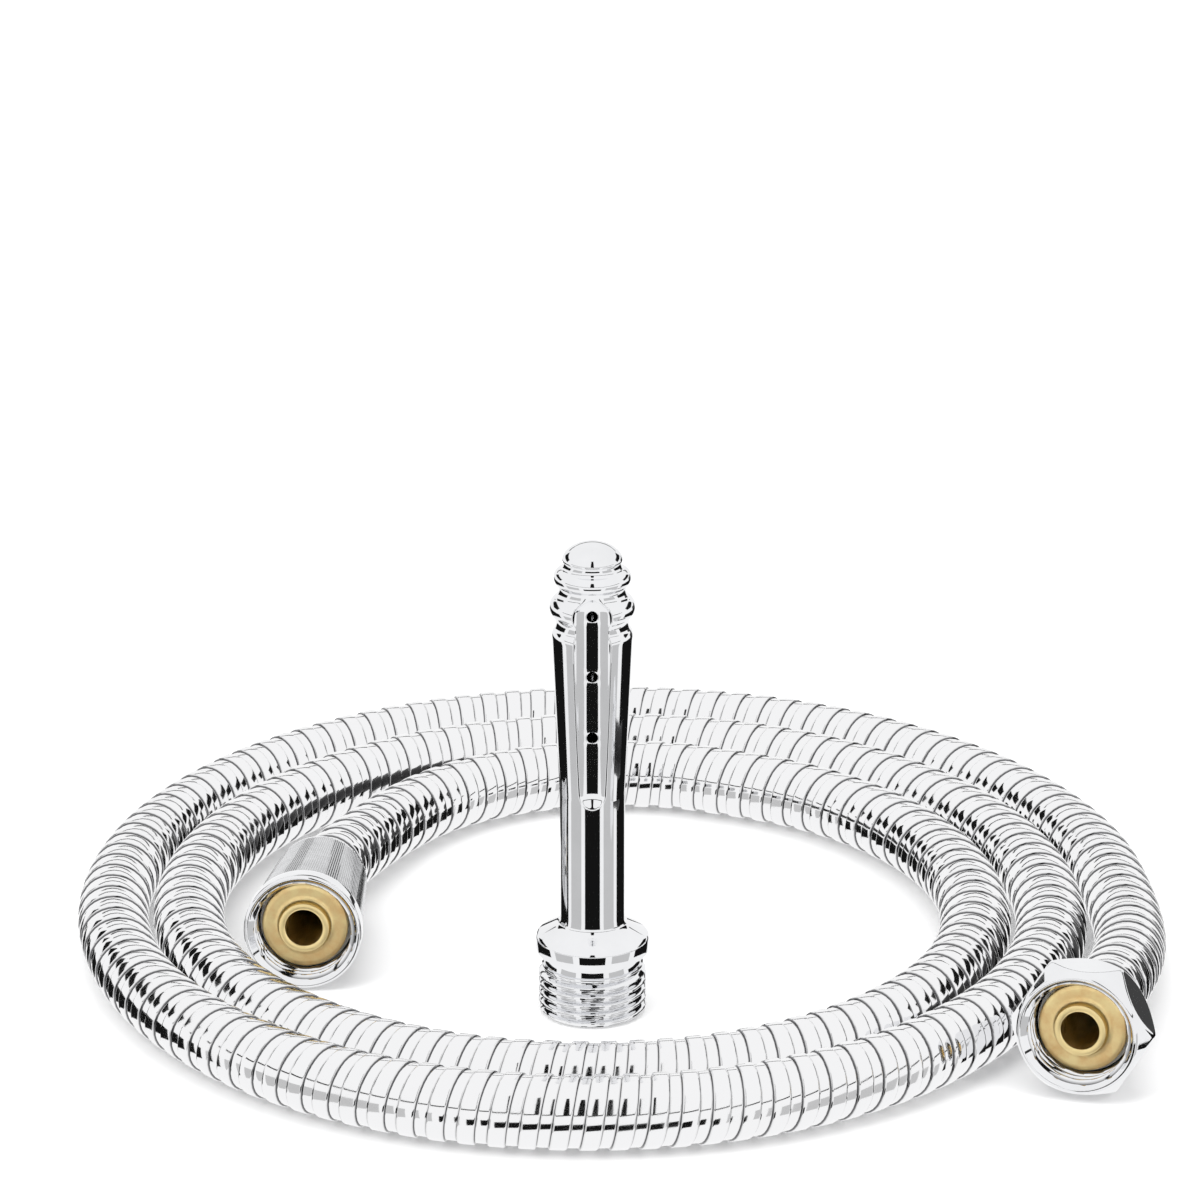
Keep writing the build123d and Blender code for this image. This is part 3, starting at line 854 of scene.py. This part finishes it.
def bore_angles(angles, drilled, middle):
    """Angles of the bore's columns: straight behind the outside's where the jets are drilled, and
    spread over what is left of the half turn elsewhere."""
    wide = JET_CELLS // 2 + PATCH_CELLS
    centre = angles.shape[1] // 2
    edge_out = np.abs(angles[:, centre + wide])[:, None]
    edge_in = np.abs(drilled[:, centre + wide])[:, None]
    share = (np.abs(angles) - edge_out) / (pi / 2 - edge_out)
    return np.where(middle, drilled, np.sign(angles) * (edge_in + share * (pi / 2 - edge_in)))


class SPRAYER_OT_nozzle(bpy.types.Operator):
    """Nozzle shell: a turned outline on a grid of height and angle, cut by two ball-ended flutes,
    with a right-hand thread at its foot, a drilled bore and jets as round openings of the grid."""

    bl_idname = "sprayer.nozzle"
    bl_label = "Nozzle"

    def execute(self, context):
        nozzle = context.scene.sprayer_nozzle
        outer, inner, heights, centre, per_half = nozzle_surfaces()
        columns = outer.shape[1]
        bored = int(np.searchsorted(heights, nozzle.bore_top))
        tip = inner[bored - 1:bored] * [0, 0, 1]
        tip[..., 2] = nozzle.bore_top + nozzle.bore_radius / tan(radians(59))
        inner = np.concatenate([inner[:bored], tip])
        cut = np.zeros((len(heights) - 1, columns), bool)
        cells = JET_CELLS // 2
        loops = []
        for jet in JET_HEIGHTS:
            row = int(np.argmin(np.abs(heights - jet * MM)))
            for half in (0, 1):
                column = centre + half * per_half
                cut[row - cells:row + cells, column - cells:column + cells] = True
                loops.append(opening_loop(row, column, cells))
        first_inner = outer.shape[0] * columns
        faces = [grid_faces(len(outer), columns, keep=~cut)]
        inner_cut = np.zeros((len(inner) - 1, columns), bool)
        inner_cut[:bored - 1] = cut[:bored - 1]
        faces.append(grid_faces(len(inner), columns, first=first_inner, keep=~inner_cut)[:, ::-1])
        around = np.arange(columns)
        beside = (around + 1) % columns
        faces.append(np.stack([around, around + first_inner, beside + first_inner, beside], -1))
        for loop in loops:
            here = loop[:, 0] * columns + loop[:, 1]
            there = np.roll(here, -1)
            faces.append(np.stack([here, here + first_inner, there + first_inner, there], -1))
        vertices = np.concatenate([outer.reshape(-1, 3), inner.reshape(-1, 3)])
        piece = make_piece("nozzle_shell", vertices, np.concatenate(faces), "nozzle", ["nozzle_body"],
                           chrome_material("nozzle_plate"))
        piece.data.set_sharp_from_angle(angle=radians(33))
        return {"FINISHED"}


def opening_loop(row, column, cells):
    """Row and column of each corner round a square opening of the grid, counter-clockwise outside."""
    steps = np.arange(-cells, cells)
    low, high = np.full(2 * cells, -cells), np.full(2 * cells, cells)
    rows = np.concatenate([low, steps, high, -steps])
    columns = np.concatenate([steps, high, -steps, low])
    return np.stack([row + rows, column + columns], -1)


# ------------------------------------------------------------------ hose ends


def ring_grid(section, columns):
    """A closed ring: a closed section of (radius, height) corners carried once round the Z axis."""
    angle = np.linspace(0, 2 * pi, columns, endpoint=False)[None, :]
    radius = np.repeat(section[:, :1], columns, 1)
    height = np.repeat(section[:, 1:2], columns, 1)
    return radius, height, np.broadcast_to(angle, radius.shape)


def ring_points(radius, height, angle):
    """Corners of a ring at radii, heights and angles."""
    return np.stack([radius * np.cos(angle), radius * np.sin(angle), height], -1)


def bore_section(recess, total):
    """The inside of a nut from its back to its mouth, as corners, and the rows that are threaded."""
    fittings, thread = bpy.context.scene.sprayer_fittings, bpy.context.scene.sprayer_thread
    shoulder = -recess - fittings.flange_depth - fittings.bush_depth - fittings.play
    bore = thread.minor + thread.gap
    rows = np.linspace(shoulder + 0.4 * MM, -0.05 * MM, int(-shoulder / (0.12 * MM)))
    threaded = np.stack([np.full(len(rows), bore), rows], 1)
    before = [
        (fittings.back_bore + 0.3 * MM, -total),
        (fittings.back_bore, -total + 0.4 * MM),
        (fittings.back_bore, shoulder - 0.25 * MM),
        (fittings.back_bore + 0.2 * MM, shoulder),
        (bore - 0.2 * MM, shoulder),
        (bore, shoulder + 0.15 * MM),
    ]
    after = [(fittings.mouth, -0.01 * MM)]
    return np.concatenate([before, threaded, after]), len(before), len(before) + len(threaded)


def cut_thread(radius, height, angle, first, last, recess):
    """Cuts the female thread into the threaded rows: it opens into the mouth's lead-in cone and fades
    out at the flange. Returns how far down in the thread's groove each corner of the ring lies."""
    thread, fittings = bpy.context.scene.sprayer_thread, bpy.context.scene.sprayer_fittings
    rows = slice(first, last)
    fade = np.clip((height[rows] + recess + fittings.flange_depth) / (0.8 * MM), 0, 1)
    groove = thread_height(height[rows], angle[rows], thread.pitch)
    grooved = radius[rows] + (thread.major - thread.minor) * groove * fade
    lead_in = fittings.mouth + height[rows]
    radius[rows] = np.maximum(grooved, lead_in)
    # how far down the groove each corner lies; the plate's material turns this into painted shade in the
    # thread's roots
    root = np.zeros(radius.shape)
    root[rows] = np.where(grooved > lead_in, groove * fade, 0)
    return root


class SPRAYER_OT_round_nut(bpy.types.Operator):
    """Conical nut: a smooth rim, then a taper whose radius carries the lower of two crossed
    helical waves, which makes the knurl's diamonds. Its bore is threaded."""

    bl_idname = "sprayer.round_nut"
    bl_label = "Round nut"

    def execute(self, context):
        fittings = context.scene.sprayer_fittings
        rim, back, total = fittings.round_radius, fittings.round_back, fittings.round_length
        inside, first, last = bore_section(fittings.round_recess, total)
        corner = 0.6 * MM
        turn = np.linspace(0, pi / 2, 7)
        edge = np.stack([rim - corner + corner * np.sin(turn), -corner + corner * np.cos(turn)], 1)
        rim_back = -4.2 * MM
        pitch = 2 * pi * fittings.knurl_radius / fittings.knurl_count
        rows = np.arange(rim_back - 0.62 * MM, -total + 0.9 * MM, -pitch / 4)
        taper = np.interp(rows, [-total, rim_back], [back, rim - 0.4 * MM])
        outside = np.concatenate([
            [(fittings.mouth + 0.12 * MM, 0)],
            edge,
            [(rim, -1.6 * MM), (rim, -3.0 * MM), (rim, rim_back + 0.2 * MM), (rim - 0.06 * MM, rim_back)],
            [(rim - 0.40 * MM, rim_back - 0.16 * MM), (rim - 0.46 * MM, rim_back - 0.4 * MM)],
            np.stack([taper, rows], 1),
            [(back - 0.1 * MM, -total + 0.5 * MM), (back - 0.35 * MM, -total + 0.1 * MM)],
            [(back - 0.6 * MM, -total)],
        ])
        section = np.concatenate([inside, outside])
        radius, height, angle = ring_grid(section, 4 * fittings.knurl_count)
        radius = radius.copy()
        root = cut_thread(radius, height, angle, first, last, fittings.round_recess)
        start = len(inside) + len(edge) + 7
        knurl = slice(start, start + len(rows))
        climb = height[knurl] / pitch
        around = angle[knurl] * fittings.knurl_count / (2 * pi)
        crossed = np.minimum(triangle_wave(around + climb), triangle_wave(around - climb))
        ends = np.clip(np.minimum(rows - rows[-1], rows[0] - rows) / (0.9 * MM), 0, 1)[:, None]
        radius[knurl] += fittings.knurl_depth * (crossed * 1.25 - 0.6) * ends
        points = placed(ring_points(radius, height, angle), hose_end("round_nut_spin"))
        faces = grid_faces(*radius.shape, wrap_rows=True)[:, ::-1]
        cut = np.zeros(radius.shape)
        cut[knurl] = ends
        # painted shade: the knurl is darker towards the valleys between its diamonds, on top of the thread's
        # root shade
        root[knurl] = ends * (0.55 - 0.4 * crossed)
        piece = make_piece("round_nut_shell", points, faces, "round_nut", ["round_nut"],
                           knurl_material(), {"knurled": cut, "root": root})
        piece.data.set_sharp_from_angle(angle=radians(17))
        return {"FINISHED"}


class SPRAYER_OT_hex_nut(bpy.types.Operator):
    """Hexagon nut: at each angle the radius is the lower of the six flats and of a turned chamfer at
    either end, with rounded edges, and behind it a round collar. Its bore is threaded."""

    bl_idname = "sprayer.hex_nut"
    bl_label = "Hexagon nut"

    def execute(self, context):
        fittings = context.scene.sprayer_fittings
        total, depth, rim = fittings.hex_length, fittings.hex_depth, fittings.hex_rim
        inside, first, last = bore_section(fittings.hex_recess, total)
        rows = np.concatenate([
            [-0.02, -0.06, -0.12, -0.2, -0.3, -0.42], np.linspace(-0.6, 0.6 - depth / MM, 61),
            np.array([0.42, 0.3, 0.2, 0.12, 0.06, 0.02]) - depth / MM,
        ]) * MM
        flats = np.stack([np.full(len(rows), rim), rows], 1)
        collar = fittings.hex_collar
        outside = np.concatenate([
            [(fittings.mouth + 0.08 * MM, 0), (rim - 0.45 * MM, 0)],
            flats,
            [
                (rim - 0.45 * MM, -depth), (collar + 0.4 * MM, -depth),
                (collar + 0.08 * MM, -depth - 0.12 * MM), (collar, -depth - 0.5 * MM),
                (collar, -total + 2.6 * MM), (collar - 0.12 * MM, -total + 1.9 * MM),
                (collar - 0.9 * MM, -total + 0.3 * MM), (collar - 1.15 * MM, -total + 0.05 * MM),
                (collar - 1.4 * MM, -total),
            ],
        ])
        section = np.concatenate([inside, outside])
        radius, height, angle = ring_grid(section, 216)
        radius = radius.copy()
        root = cut_thread(radius, height, angle, first, last, fittings.hex_recess)
        start = len(inside) + 2
        band = slice(start, start + len(rows))
        sector = (angle[band] + pi / 6 - pi / 2) % (pi / 3) - pi / 6
        across = fittings.hex_flats / 2
        flat = across / np.cos(sector)
        near = np.minimum(-height[band], depth + height[band])
        corner = across / cos(pi / 6)
        flat = smooth_min(flat, corner - 0.12 * MM, 0.4 * MM)
        edge = np.clip(1 - near / (0.45 * MM), 0, 1)
        slope = (corner - rim) / fittings.hex_chamfer
        chamfer = rim + near * slope - 0.4 * MM * (1 - np.sqrt(1 - edge * edge))
        radius[band] = smooth_min(flat, chamfer, 0.22 * MM)
        points = placed(ring_points(radius, height, angle), hose_end("hex_nut_spin"))
        faces = grid_faces(*radius.shape, wrap_rows=True)[:, ::-1]
        # root gives the thread's grooves their painted shade
        piece = make_piece("hex_nut_shell", points, faces, "hex_nut", ["hex_nut"],
                           chrome_material("nut_plate"), {"root": root})
        piece.data.set_sharp_from_angle(angle=radians(40))
        return {"FINISHED"}


class SPRAYER_OT_inserts(bpy.types.Operator):
    """Brass hose tails: a closed section, boss, flange, neck and barbed spigot, turned about the axis."""

    bl_idname = "sprayer.inserts"
    bl_label = "Brass inserts"

    def execute(self, context):
        fittings = context.scene.sprayer_fittings
        material = brass_material()
        for name, joint, recess in (
            ("round", "round_nut_spin", fittings.round_recess),
            ("hex", "hex_nut_spin", fittings.hex_recess),
        ):
            radius, height, angle = ring_grid(insert_section(recess), 96)
            points = placed(ring_points(radius, height, angle), hose_end(joint))
            faces = grid_faces(*radius.shape, wrap_rows=True)
            raised = np.clip((height + recess) / (0.8 * MM), 0, 1)
            piece = make_piece(f"{name}_insert", points, faces, "hose", [f"{name}_end_insert"],
                               material, {"boss": raised})
            piece.data.set_sharp_from_angle(angle=radians(40))
        return {"FINISHED"}


def insert_section(recess):
    """Corners of the hose tail's section, with a small radius on each edge that shows."""
    fittings = bpy.context.scene.sprayer_fittings
    face, bore, boss, flange = -recess, fittings.insert_bore, fittings.boss, fittings.flange
    top = face + fittings.boss_height
    neck = face - fittings.flange_depth
    shoulder = neck - fittings.neck_length
    tail = shoulder - fittings.spigot_length
    points = [
        (bore, top - 0.3 * MM), (bore + 0.06 * MM, top - 0.08 * MM), (bore + 0.22 * MM, top),
        (boss - 0.25 * MM, top), (boss - 0.07 * MM, top - 0.07 * MM), (boss, top - 0.25 * MM),
        (boss, face + 0.7 * MM), (boss + 0.09 * MM, face + 0.38 * MM), (boss + 0.3 * MM, face + 0.12 * MM),
        (boss + 0.7 * MM, face), (boss + 1.2 * MM, face), (flange - 1.0 * MM, face),
        (flange - 0.3 * MM, face), (flange - 0.08 * MM, face - 0.08 * MM), (flange, face - 0.3 * MM),
        (flange, neck), (fittings.neck, neck), (fittings.neck, shoulder), (fittings.spigot, shoulder),
    ]
    barb = 4.0 * MM
    foot = shoulder - barb / 2
    while foot - barb > tail:
        points += [(fittings.spigot, foot), (fittings.spigot, foot - barb / 4)]
        points.append((fittings.spigot - 0.35 * MM, foot - barb))
        foot -= barb
    points += [(fittings.spigot - 0.35 * MM, tail), (bore, tail)]
    return np.array(points)[::-1]


class SPRAYER_OT_hidden_parts(bpy.types.Operator):
    """Finishes of the pieces that keep their own shape: inner tube, bushes and ferrules."""

    bl_idname = "sprayer.hidden_parts"
    bl_label = "Inner tube, bushes and ferrules"

    def execute(self, context):
        rubber, nylon, steel = rubber_material(), nylon_material(), ferrule_material()
        for name, material in (
            ("inner_tube_round_end", rubber), ("inner_tube_hex_end", rubber),
            ("round_end_bush", nylon), ("hex_end_bush", nylon),
            ("round_end_ferrule", steel), ("hex_end_ferrule", steel),
        ):
            node = frame["nodes"][name]
            node.data.materials.clear()
            node.data.materials.append(material)
        return {"FINISHED"}


# ------------------------------------------------------------------ stage


SPRAYER_MIDDLE, RING_MIDDLE = (0.0, 0.02, 0.045), (0.005, 0.038, 0.007)

# name, azimuth, elevation, power in watts, width in metres
LAMPS = (("key", -50, 48, 9.0, 0.9), ("fill", 62, 35, 5.0, 0.9), ("top", 10, 84, 7.0, 1.1))

# name, azimuths, elevations, shade
CARDS = (
    ("front_gap", (-26, 26), (-33, -15.5), 0.008),
    ("front_stand", (-6, 6), (12, 62), 0.01),
    ("table_edge", (-85, 85), (10.5, 13.5), 0.02),
    ("left_wall", (-150, -94), (-29, -9), 0.008),
    ("right_wall", (94, 150), (-29, -9), 0.008),
    ("left_window_frame", (-142, -106), (11, 26), 0.01),
    ("right_window_frame", (106, 142), (11, 26), 0.01),
    ("right_cabinet", (129, 150), (-9, 4), 0.06),
    ("left_pale", (-80, -40), (-32, -8), 0.6),
    ("right_pale", (40, 80), (-32, -8), 0.6),
    ("back_edge", (150, 210), (17, 21), 0.05),
)


def look_from(azimuth, elevation, distance, target):
    """A place at a distance from a target, azimuth 0 in front of it and 90 to its right."""
    level = cos(radians(elevation))
    turn = radians(azimuth)
    away = np.array([sin(turn) * level, -cos(turn) * level, sin(radians(elevation))])
    return np.array(target) + distance * away


def aim(holder, place, target):
    """Puts a camera, lamp or card at a place, facing a target."""
    holder.location = Vector(place)
    holder.rotation_euler = (Vector(target) - Vector(place)).to_track_quat("-Z", "Y").to_euler()


def reflection_card(name, azimuths, elevations, shade):
    """A card that only mirrors see: a patch of a sphere round the sprayer, between two azimuths and
    two elevations, that gives polished metal something dark or pale to reflect."""
    distance, columns, rows = 1.5, 33, 13
    across = np.radians(np.linspace(*azimuths, columns))
    across, up = np.meshgrid(across, np.radians(np.linspace(*elevations, rows)))
    away = np.stack([np.sin(across) * np.cos(up), -np.cos(across) * np.cos(up), np.sin(up)], -1)
    mesh = bpy.data.meshes.new(name)
    corners = (np.array(SPRAYER_MIDDLE) + distance * away).reshape(-1, 3)
    mesh.from_pydata(corners, [], grid_faces(rows, columns, wrap_columns=False)[:, ::-1])
    material = bpy.data.materials.new(name)
    material.use_nodes = True
    nodes, links = material.node_tree.nodes, material.node_tree.links
    nodes.clear()
    glow, out = nodes.new("ShaderNodeEmission"), nodes.new("ShaderNodeOutputMaterial")
    glow.inputs["Color"].default_value = (shade, shade, shade, 1)
    links.new(glow.outputs[0], out.inputs["Surface"])
    mesh.materials.append(material)
    card = bpy.data.objects.new(name, mesh)
    bpy.context.scene.collection.objects.link(card)
    card.visible_camera = False
    card.visible_shadow = False
    card.visible_diffuse = False


def make_camera(scene):
    """A long lens in front of the coil and above it, tilted up so that the sprayer lies low in the frame."""
    camera_data = bpy.data.cameras.new("camera")
    camera = bpy.data.objects.new("camera", camera_data)
    scene.collection.objects.link(camera)
    camera_data.lens, camera_data.sensor_width = 165.0, 36.0
    aim(camera, look_from(0, 23.1, 1.1, RING_MIDDLE), RING_MIDDLE)
    camera.rotation_euler.x += radians(3.09)
    camera.rotation_euler.z += radians(0.21)
    scene.camera = camera
    scene.view_settings.view_transform = "Standard"


def make_floor(scene):
    """A wide matt floor just under the sprayer, which the polished metal does not mirror."""
    mesh = bpy.data.meshes.new("floor")
    reach, level = 6.0, -0.1 * MM
    corners = [(x, y, level) for x, y in ((-reach, -reach), (reach, -reach), (reach, reach), (-reach, reach))]
    mesh.from_pydata(corners, [], [(0, 1, 2, 3)])
    floor = bpy.data.objects.new("floor", mesh)
    scene.collection.objects.link(floor)
    floor.visible_glossy = False
    material, _, _, shader = new_material("floor")
    shader.inputs["Base Color"].default_value = (*scene.sprayer_finish.floor, 1)
    shader.inputs["Roughness"].default_value = 0.6
    shader.inputs["Specular IOR Level"].default_value = 0.2
    mesh.materials.append(material)


def make_world(scene):
    """White surroundings."""
    world = bpy.data.worlds.new("studio")
    scene.world = world
    world.use_nodes = True
    surroundings = world.node_tree.nodes["Background"]
    surroundings.inputs["Color"].default_value = (1, 1, 1, 1)
    surroundings.inputs["Strength"].default_value = 1.0


def make_lamp(name, azimuth, elevation, power, size):
    """A soft square lamp aimed at the sprayer, which the polished metal does not mirror."""
    lamp = bpy.data.lights.new(name, "AREA")
    lamp.energy, lamp.size = power, size
    holder = bpy.data.objects.new(name, lamp)
    bpy.context.scene.collection.objects.link(holder)
    aim(holder, look_from(azimuth, elevation, 1.6, SPRAYER_MIDDLE), SPRAYER_MIDDLE)
    holder.visible_glossy = False


class SPRAYER_OT_stage(bpy.types.Operator):
    """Camera, plain floor, pale surroundings, soft lamps and the cards that the metal reflects."""

    bl_idname = "sprayer.stage"
    bl_label = "Stage"

    def execute(self, context):
        make_camera(context.scene)
        make_floor(context.scene)
        make_world(context.scene)
        for name, azimuth, elevation, power, size in LAMPS:
            make_lamp(name, azimuth, elevation, power, size)
        for name, azimuths, elevations, shade in CARDS:
            reflection_card(name, azimuths, elevations, shade)
        return {"FINISHED"}


# ------------------------------------------------------------------ registration

MAKERS = (
    SPRAYER_OT_stage, SPRAYER_OT_nozzle, SPRAYER_OT_round_nut, SPRAYER_OT_hex_nut, SPRAYER_OT_inserts,
    SPRAYER_OT_hidden_parts, SPRAYER_OT_hose,
)
SETTINGS = {
    "sprayer_thread": SprayerThread, "sprayer_nozzle": SprayerNozzle, "sprayer_hose": SprayerHose,
    "sprayer_fittings": SprayerFittings, "sprayer_finish": SprayerFinish,
}


class SPRAYER_PT_panel(bpy.types.Panel):
    """Lists the operators that build the sprayer."""

    bl_idname = "SPRAYER_PT_panel"
    bl_label = "Bath Sprayer"
    bl_space_type = "VIEW_3D"
    bl_region_type = "UI"
    bl_category = "Sprayer"

    def draw(self, context):
        for maker in MAKERS:
            self.layout.operator(maker.bl_idname)


def register():
    for made in (*SETTINGS.values(), *MAKERS, SPRAYER_PT_panel):
        bpy.utils.register_class(made)
    for name, group in SETTINGS.items():
        setattr(bpy.types.Scene, name, PointerProperty(type=group))


def unregister():
    for name in SETTINGS:
        delattr(bpy.types.Scene, name)
    for made in (SPRAYER_PT_panel, *reversed(MAKERS), *reversed(SETTINGS.values())):
        bpy.utils.unregister_class(made)


def main():
    register()
    for maker in MAKERS:
        group, name = maker.bl_idname.split(".")
        getattr(getattr(bpy.ops, group), name)()


if __name__ == "__main__":
    main()
